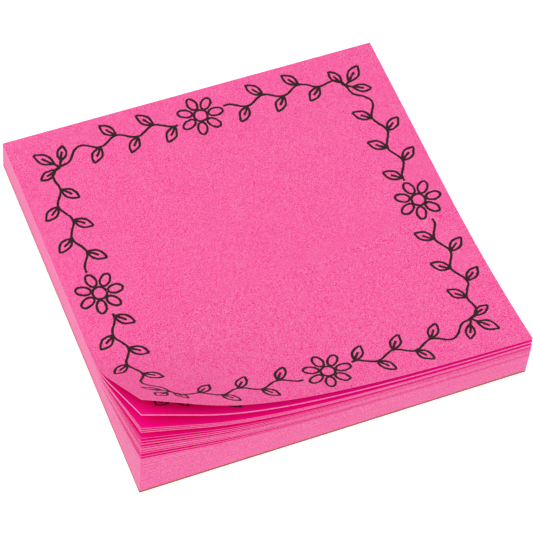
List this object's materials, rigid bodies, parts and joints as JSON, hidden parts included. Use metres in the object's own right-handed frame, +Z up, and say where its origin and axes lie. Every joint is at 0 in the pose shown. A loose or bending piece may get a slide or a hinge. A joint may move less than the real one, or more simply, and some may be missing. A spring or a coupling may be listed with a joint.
{
  "type": "sticky note pad",
  "caption": "Square pad of thin pink notes glued along one edge on a card backing, with one corner thumbed so that the upper notes curl up and fan apart.",
  "frame": {"origin": "middle of the underside of the backing card, on the surface that the pad lies on", "axes": "+Z up through the stack, +Y towards the glued edge, +X to the right, with the curled corner at -X, -Y"},
  "size_m": [0.076, 0.076, 0.0226],
  "materials": {
    "note_paper": "uncoated, matt, bright pink",
    "backing_card": "plain brown card, matt"
  },
  "bodies": {
    "root": {"backing_card": "backing_card", "note_block": "note_paper", "eighth_notes": "note_paper", "seventh_notes": "note_paper", "sixth_notes": "note_paper", "fifth_notes": "note_paper", "fourth_note": "note_paper", "third_notes": "note_paper", "second_notes": "note_paper", "top_note": "note_paper"}
  },
  "joints": []
}
